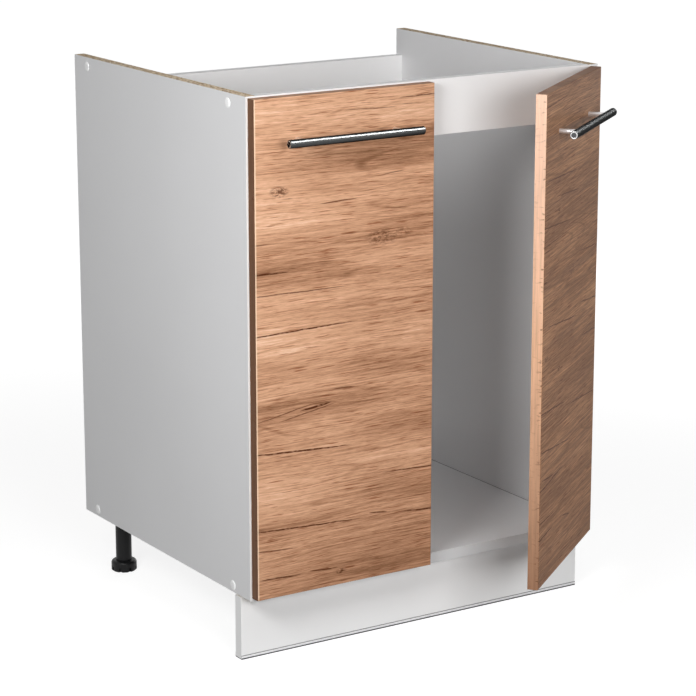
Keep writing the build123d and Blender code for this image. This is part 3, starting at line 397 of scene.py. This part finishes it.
class Oak(Surface):
    """Rustic oak decor whose grain runs across one door, on its faces and its bands. Its points and
    normals are those of the shut door.
    """

    def __init__(self, side, carcass_front):
        super().__init__("oak_" + side)
        self.side = side
        turn = math.radians(-SIDES[side] * DOOR_OPEN[side])
        pivot = (SIDES[side] * DOOR_PIVOT[0], carcass_front + DOOR_PIVOT[1], 0.0)
        self.place = self.turned("Object", turn, pivot)
        self.facing = self.turned("Normal", turn, (0.0, 0.0, 0.0))
        self.across, self.depth, self.height = self.parts(self.place)
        self.drifted = self.moved(self.height, self.noise(self.place, *DRIFT), GRAIN_DRIFT)
        self.flow = self.joined(self.across, self.depth, self.drifted)

    def turned(self, kind, turn, centre):
        """The named coordinates, turned about the upright line through a centre."""
        node = self.add("ShaderNodeVectorRotate", rotation_type="Z_AXIS")
        for name, value in (("Vector", self.texture_space(kind)), ("Center", centre), ("Angle", turn)):
            self.put(node.inputs[name], value)
        return node.outputs[0]

    def crack(self, height, mark):
        """How dark one crack is at a point: full in its middle, tapering to its ends."""
        x0, z0, x1, z1, half_width, darkness = mark
        along = self.spread(self.across, x0 * MILLIMETRE, x1 * MILLIMETRE)
        line = self.math("MULTIPLY_ADD", along, (z1 - z0) * MILLIMETRE, z0 * MILLIMETRE)
        away = self.math("ABSOLUTE", self.math("SUBTRACT", height, line))
        from_middle = self.math("ABSOLUTE", self.math("MULTIPLY_ADD", along, 2.0, -1.0))
        taper = self.math("SUBTRACT", 1.0, self.math("POWER", from_middle, CRACK_TAPER))
        width = self.math("MULTIPLY_ADD", taper, half_width * CRACK_WIDTHS * MILLIMETRE, NO_WIDTH)
        inside = self.math("SUBTRACT", 1.0, self.math("DIVIDE", away, width), clamp=True)
        core = self.math("MULTIPLY", inside, CRACK_EDGE, clamp=True)
        return self.math("MULTIPLY", core, darkness)

    def spot(self, height, mark):
        """A soft oval spot's strength at a point, full in its middle and 0 at its rim."""
        x, z, half_width, half_height, strength = mark
        away = 0.0
        for value, middle, reach in ((self.across, x, half_width), (height, z, half_height)):
            scale = 1 / (reach * MILLIMETRE)
            share = self.math("MULTIPLY_ADD", value, scale, -middle * MILLIMETRE * scale)
            away = self.math("MULTIPLY_ADD", share, share, away)
        return self.spread(away, 0.0, 1.0, strength, 0.0, smooth=True)

    def grain(self, fibres):
        """The wood's colour without its marks, from its fibres and coarser layers, with painted light
        and shade and a painted shadow under the left handle.
        """
        fleck_weight, fleck_count = OAK_FLECKS[self.side]
        flecks = self.noise(self.flow, (fleck_count, fleck_count, FLECK_FINENESS), *FLECK_NOISE)
        zones = self.noise(self.flow, *ZONES)
        boards = self.noise(self.flow, *BOARDS)
        # The wood's tone with painted light and shade: lighter towards the top, darker on the right
        # door.
        tone = self.spread(self.height, *DOOR_HEIGHTS, *OAK_TONES_AND_SHADE[self.side])
        for layer, weight in ((zones, ZONE_WEIGHT), (boards, BOARD_WEIGHT), (fibres, FIBRE_WEIGHT),
                              (flecks, fleck_weight)):
            tone = self.moved(tone, layer, weight)

        # Thin growth lines, which come and go.
        rings = self.math("MULTIPLY", self.noise(self.flow, *GROWTH), RINGS)
        lines = self.spread(self.math("PINGPONG", rings, RING_REACH), *RING_RANGE)
        fading = self.spread(self.noise(self.place, *FADING), *FADING_RANGE)
        tone = self.math("MULTIPLY_ADD", self.math("MULTIPLY", lines, fading), RING_WEIGHT, tone)

        # These include the painted shadow under the left handle.
        for mark in PATCHES_AND_HANDLE_SHADOW[self.side]:
            tone = self.math("ADD", tone, self.spot(self.drifted, mark))
        colour = self.ramp(self.spread(tone, *TONE_RANGE), OAK_STOPS)
        pores = self.spread(self.noise(self.flow, *PORES), *PORE_RANGE)
        colour = self.mix(pores, colour, OAK_PORE, "MULTIPLY")
        # The right door's tint is painted shade.
        return self.mix(1.0, colour, OAK_SHADE_TINTS[self.side], "MULTIPLY")

    def marks(self):
        """How dark the splits, cracks and knots are at a point."""
        marks = self.spread(self.noise(self.flow, *SPLITS), *SPLIT_RANGE)
        height = self.moved(self.height, self.noise(self.place, *WOBBLE), CRACK_WOBBLE)
        for mark in CRACKS[self.side]:
            marks = self.math("MAXIMUM", marks, self.crack(height, mark))
        knots = 0.0
        for mark in KNOTS[self.side]:
            knots = self.math("MAXIMUM", knots, self.spot(self.height, mark))
        speckle = self.spread(self.noise(self.place, *SPECKLE), *SPECKLE_RANGE)
        marks = self.math("MAXIMUM", marks, self.math("MULTIPLY", knots, speckle))
        return self.math("MULTIPLY", marks, self.spread(self.noise(self.place, *BREAKS), *BREAK_RANGE))

    def edged(self, colour, door_front, door_reach):
        """A colour with a painted highlight beside the hinges' edge, upper and lower edges darkened as
        painted shade, a paler band of painted light on the free edge that darkens towards the bottom,
        and a dark band of painted shade at the hinges.
        """
        # A painted highlight beside the hinges' edge.
        beyond = self.math("GREATER_THAN", self.math("ABSOLUTE", self.across), door_reach - ARRIS_HIGHLIGHT_WIDTH)
        colour = self.mix(self.math("MULTIPLY", beyond, ARRIS_HIGHLIGHT_SHARE), colour, OAK_ARRIS_HIGHLIGHT)
        sideways, _, upwards = self.parts(self.facing)
        # Painted shade on the upper and lower edges.
        on_end = self.math("GREATER_THAN", self.math("ABSOLUTE", upwards), EDGE_FACING)
        colour = self.mix(self.math("MULTIPLY", on_end, OAK_END_SHADE), colour, OAK_HINGE_EDGE_SHADE)

        towards_hinge = self.math("MULTIPLY", sideways, float(SIDES[self.side]))
        shade = self.vary(self.noise(self.place, *UPRIGHT), *EDGE_SHADES)
        behind_face = self.math("SUBTRACT", self.depth, door_front)
        ticks = self.math("MULTIPLY", self.spread(self.noise(self.place, *TICKS), *TICK_RANGE),
                          self.spread(behind_face, *TICK_DEPTHS))
        # Painted light on the free edge, fading to painted shade towards the bottom.
        free_edge_painted_light = self.ramp(self.spread(self.height, *DOOR_HEIGHTS), OAK_FREE_EDGE_PAINTED_LIGHT)
        # The hinges' edge is darkened as painted shade.
        for sign, tint in ((-1.0, free_edge_painted_light), (1.0, OAK_HINGE_EDGE_SHADE)):
            on_edge = self.math("GREATER_THAN", self.math("MULTIPLY", towards_hinge, sign), EDGE_FACING)
            colour = self.mix(on_edge, colour, self.mix(ticks, self.shaded(tint, shade), OAK_CRACK))
        return colour


def oak(side, carcass_front, door_front, door_reach):
    """The oak of one door: door_front is its face, door_reach its hinges' edge from the middle."""
    surface = Oak(side, carcass_front)
    fibres = surface.noise(surface.flow, *FIBRES)
    marks = surface.marks()
    colour = surface.mix(marks, surface.grain(fibres), OAK_CRACK)
    surface.set(Base_Color=surface.edged(colour, door_front, door_reach),
                Roughness=surface.vary(fibres, *OAK_ROUGHNESS), Specular_IOR_Level=OAK_GLOSS)
    surface.bump(surface.math("SUBTRACT", surface.math("MULTIPLY", fibres, FIBRE_RELIEF),
                              surface.math("MULTIPLY", marks, MARK_RELIEF)), OAK_RELIEF)
    return surface.material


# ---- Metals, plastics and dowels ----

METAL_MARKS = (3.0, 0.6)            # detail and roughness of a metal's fine marks
METAL_SHADES = (0.92, 1.05)
METAL_ROUGHNESS = (0.85, 1.15)      # shares of its own roughness
METAL_RELIEF = 0.00001
PLASTIC_SHADES = (0.93, 1.07)
PLASTIC_ROUGHNESS = (0.9, 1.1)
PLASTIC_RELIEF = 0.00003

BAR_STEEL = srgb(75, 76, 76)
BAR_END = srgb(96, 97, 99)
# A painted highlight ring around the rim of each end.
BAR_END_HIGHLIGHT = srgb(236, 236, 236)
BAR_END_HIGHLIGHT_START = 0.0038         # where the painted highlight starts, from the bar's axis
BAR_RIM = srgb(60, 60, 60)          # what is left of the mirror at grazing angles
BAR_ROUGHNESS = 0.26
BAR_END_ROUGHNESS = 0.2
BAR_MARKS = 900.0                   # a metre
END_FACING = 0.99                   # part of a normal along the bar, on its ends

CONTACT_SHADOW_HEIGHT = 0.0024                 # of the painted contact shadow along the strip's lower edge
JOINT_LINE = 0.001                  # of the grey line where the strip meets the plinth
SEAL_PALE = (srgb(238, 238, 239), srgb(248, 248, 248))      # from one to the other with its grain
SEAL_JOINT = srgb(140, 141, 143)
# Painted contact shadow where the strip meets the floor.
SEAL_CONTACT_SHADOW = srgb(44, 44, 46)
SEAL_GRAIN = (20.0, 600.0, 600.0)   # waves a metre along each axis
SEAL_ROUGHNESS = 0.35
SEAL_RELIEF = 0.00002

BEECH_STOPS = [(0.3, srgb(196, 160, 118)), (0.7, srgb(228, 196, 152))]
BEECH_GRAIN = ((30.0, 500.0, 500.0), 3.0)       # waves a metre along each axis, then detail
BEECH_ROUGHNESS = 0.6
BEECH_RELIEF = 0.0001


def metal(name, colour, roughness, marks):
    """A metal with fine marks, so many a metre along each axis."""
    surface = Surface(name)
    lines = surface.noise(surface.texture_space(), marks, *METAL_MARKS)
    limits = [roughness * share for share in METAL_ROUGHNESS]
    surface.set(Base_Color=surface.shaded(colour, surface.vary(lines, *METAL_SHADES)), Metallic=1.0,
                Roughness=surface.vary(lines, *limits))
    surface.bump(lines, METAL_RELIEF)
    return surface.material


def brushed_bar(name):
    """Dark steel whose highlights are drawn out along the bar, with a painted highlight ring at its
    ends.
    """
    surface = Surface("bar_" + name)
    turn = math.radians(SIDES[name] * DOOR_OPEN[name])
    axis = (math.cos(turn), math.sin(turn), 0.0)
    along = surface.add("ShaderNodeVectorTransform", vector_type="VECTOR", convert_from="OBJECT",
                        convert_to="WORLD")
    surface.put(along.inputs[0], axis)
    outwards = surface.vector("DOT_PRODUCT", surface.texture_space("Normal"), axis)
    end = surface.math("GREATER_THAN", surface.math("ABSOLUTE", outwards), END_FACING)
    middle = sum(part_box("handle_bar_" + name), Vector()) / 2
    from_middle = surface.vector("SUBTRACT", surface.texture_space(), middle)
    from_axis = surface.vector("LENGTH", surface.vector("CROSS_PRODUCT", from_middle, axis))
    # A painted highlight ring on each end's rim.
    highlight_ring = surface.math("GREATER_THAN", from_axis, BAR_END_HIGHLIGHT_START)
    colour = surface.mix(end, BAR_STEEL, surface.mix(highlight_ring, BAR_END, BAR_END_HIGHLIGHT))
    shade = surface.vary(surface.noise(surface.texture_space(), BAR_MARKS), *METAL_SHADES)
    roughness = surface.math("MULTIPLY_ADD", end, BAR_END_ROUGHNESS - BAR_ROUGHNESS, BAR_ROUGHNESS)
    surface.set(Base_Color=surface.shaded(colour, shade), Metallic=1.0, Roughness=roughness,
                Specular_Tint=BAR_RIM, Anisotropic=1.0, Tangent=along.outputs[0])
    return surface.material


def plastic(name, colour, roughness, grain, gloss):
    """A moulded plastic with a fine grain, so many a metre."""
    surface = Surface(name)
    texture = surface.noise(surface.texture_space(), grain)
    limits = [roughness * share for share in PLASTIC_ROUGHNESS]
    surface.set(Base_Color=surface.shaded(colour, surface.vary(texture, *PLASTIC_SHADES)),
                Roughness=surface.vary(texture, *limits), Specular_IOR_Level=gloss)
    surface.bump(texture, PLASTIC_RELIEF)
    return surface.material


def sealing_strip(top):
    """A glossy pale strip with a painted contact shadow along its lower edge and a grey line along its
    top.
    """
    surface = Surface("seal")
    place = surface.texture_space()
    height = surface.parts(place)[2]
    # A painted contact shadow along the lower edge, by the floor.
    contact_shadow = surface.math("LESS_THAN", height, CONTACT_SHADOW_HEIGHT)
    joint = surface.math("GREATER_THAN", height, top - JOINT_LINE)
    grain = surface.noise(place, SEAL_GRAIN)
    colour = surface.mix(joint, surface.mix(surface.vary(grain), *SEAL_PALE), SEAL_JOINT)
    surface.set(Base_Color=surface.mix(contact_shadow, colour, SEAL_CONTACT_SHADOW), Roughness=SEAL_ROUGHNESS)
    surface.bump(grain, SEAL_RELIEF)
    return surface.material


def beech():
    """Plain beech, its grain along the dowels."""
    surface = Surface("beech")
    grain = surface.noise(surface.texture_space(), *BEECH_GRAIN)
    surface.set(Base_Color=surface.ramp(grain, BEECH_STOPS), Roughness=BEECH_ROUGHNESS)
    surface.bump(grain, BEECH_RELIEF)
    return surface.material


# ---- Which piece has which material ----

def dress(material, *names):
    """Gives CAD nodes a material in place of their own."""
    for name in names:
        mesh = NODES[name].data
        mesh.materials.clear()
        mesh.materials.append(material)


def both(*kinds):
    """The left and right node of each kind."""
    return [f"{kind}_{side}" for kind in kinds for side in SIDES]


# Metals: name, colour, roughness, fine marks a metre along each axis, and their nodes.
METALS = [
    ("post_steel", srgb(238, 239, 241), 0.36, (90.0, 90.0, 90.0), both("handle_posts")),
    ("zinc", srgb(196, 198, 202), 0.3, (500.0, 500.0, 500.0),
     ["joint_screws", "cam_bolts", "leg_screws", "clip_screws", *both("handle_screws")]),
    ("cast_zinc", srgb(150, 151, 154), 0.42, (700.0, 700.0, 700.0), ["rail_cams"]),
    ("nickel", srgb(200, 198, 194), 0.24, (300.0, 60.0, 300.0),
     both("hinge_plates", "hinge_plate_screws", "hinge_arms", "hinge_arm_pins", "hinge_arm_screws",
          "hinge_links", "hinge_link_pins", "hinge_cups", "hinge_cup_screws")),
]
# Plastics: name, colour, roughness, grain a metre, gloss, and their nodes.
PLASTICS = [
    ("black_plastic", srgb(20, 20, 21), 0.42, 1600.0, 0.2,
     ["leg_flanges", "leg_columns", "plinth_clips", *both("foot_front", "foot_rear")]),
    ("white_plastic", srgb(254, 254, 254), 0.25, 700.0, 0.5, ["screw_caps"]),
]

carcass_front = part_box("carcass_edge_bands")[0].y
shut_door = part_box("door_edge_bands_left")[0]
floor_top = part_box("bottom_panel")[1]
floor_band_shade = (floor_top.x, floor_top.z, FLOOR_BAND_SHADE)
dress(melamine("board_sides", MELAMINE, raw_faces="yz", thin="x"), *both("side_panel"))
# The floor gets lines of painted shade in its corners beside the sides.
dress(melamine("board_floor", MELAMINE, raw_faces="y", thin="z", corner_shade_at=floor_top.x - CORNER_SHADE_WIDTH),
      "bottom_panel")
dress(melamine("board_bright", BAND_WHITE), "front_rail")
# The floor's front band gets a greyer white painted as shade.
dress(melamine("bands", BAND_WHITE, low=floor_band_shade), "carcass_edge_bands")
# The rear rail and the plinth are painted whiter, as painted light.
dress(melamine("board_painted_light", PAINTED_LIGHT_WHITE), "rear_rail", "plinth_board")
for side in SIDES:
    dress(oak(side, carcass_front, shut_door.y, -shut_door.x), f"door_{side}", f"door_edge_bands_{side}")
    dress(brushed_bar(side), f"handle_bar_{side}")
for *settings, names in METALS:
    dress(metal(*settings), *names)
for *settings, names in PLASTICS:
    dress(plastic(*settings), *names)
dress(sealing_strip(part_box("plinth_seal")[1].z), "plinth_seal")
dress(beech(), "dowels")


# ---- Floor, world and lamps ----

FLOOR_SIZE = 60.0
FLOOR_COLOUR = 0.35
FLOOR_GLOW = (0.84, 1.0)    # near the cabinet and far off; seen by the camera and in reflections only
GLOW_REACH = (0.7, 2.4)     # metres from the cabinet's middle
WORLD_STRENGTH = 0.05       # the light that the surroundings give
MIDDLE = (0.0, 0.0, 0.42)   # of the cabinet
# Lamps: name, place, what they are aimed at, width and height, and watts.
LAMPS = [
    ("side", (-1.50, -0.95, 1.27), MIDDLE, (0.7, 0.5), 18.5),
    ("front", (-0.60, -2.80, 1.15), MIDDLE, (1.3, 0.8), 37.0),
    ("top", (-0.5, -1.9, 2.9), MIDDLE, (1.8, 1.2), 13.0),
    ("back", (2.2, 1.5, 0.70), MIDDLE, (1.2, 0.5), 14.0),
]
# This lamp lights the handle bars only, and draws the bright line along them.
STREAK_LAMP = ("streak", (1.33, -1.30, 2.64), (-0.15, -0.30, 0.76), (0.5, 1.9), 225.0)


def seen_directly(tree):
    """1 for rays from the camera and for mirrored and refracted ones, 0 for the rest."""
    path = tree.nodes.new("ShaderNodeLightPath")
    total = path.outputs["Is Camera Ray"]
    for name in ("Is Glossy Ray", "Is Transmission Ray"):
        add = tree.nodes.new("ShaderNodeMath")
        add.operation = "MAXIMUM"
        tree.links.new(total, add.inputs[0])
        tree.links.new(path.outputs[name], add.inputs[1])
        total = add.outputs[0]
    return total


floor_mesh = bpy.data.meshes.new("floor")
half = FLOOR_SIZE / 2
corners = [(-half, -half, 0), (half, -half, 0), (half, half, 0), (-half, half, 0)]
floor_mesh.from_pydata(corners, [], [(0, 1, 2, 3)])
floor = bpy.data.objects.new("floor", floor_mesh)
bpy.context.scene.collection.objects.link(floor)
floor_surface = Surface("floor")
distance = floor_surface.vector("LENGTH", floor_surface.texture_space())
glow = floor_surface.spread(distance, *GLOW_REACH, *FLOOR_GLOW, smooth=True)
seen_glow = floor_surface.math("MULTIPLY", seen_directly(floor_surface.tree), glow)
floor_surface.set(Base_Color=(FLOOR_COLOUR, FLOOR_COLOUR, FLOOR_COLOUR, 1.0), Roughness=1.0,
                  Specular_IOR_Level=0.0, Emission_Color=WHITE_LIGHT, Emission_Strength=seen_glow)
floor_mesh.materials.append(floor_surface.material)

world = bpy.data.worlds.new("world")
world.use_nodes = True
bpy.context.scene.world = world
sky = world.node_tree.nodes["Background"]
sky.inputs["Color"].default_value = WHITE_LIGHT
strength = world.node_tree.nodes.new("ShaderNodeMapRange")
strength.inputs["To Min"].default_value = WORLD_STRENGTH
strength.inputs["To Max"].default_value = 1.0
world.node_tree.links.new(seen_directly(world.node_tree), strength.inputs["Value"])
world.node_tree.links.new(strength.outputs["Result"], sky.inputs["Strength"])


def lamp(name, place, target, size, power):
    """A rectangular area lamp aimed at a point, which it returns."""
    data = bpy.data.lights.new(name, "AREA")
    data.shape = "RECTANGLE"
    data.size, data.size_y = size
    data.energy = power
    item = bpy.data.objects.new(name, data)
    item.location = place
    item.rotation_euler = (Vector(target) - Vector(place)).to_track_quat("-Z", "Y").to_euler()
    item.visible_camera = False
    bpy.context.scene.collection.objects.link(item)
    return item


for settings in LAMPS:
    lamp(*settings)
bars = bpy.data.collections.new("bars")
for name in both("handle_bar"):
    bars.objects.link(NODES[name])
lamp(*STREAK_LAMP).light_linking.receiver_collection = bars
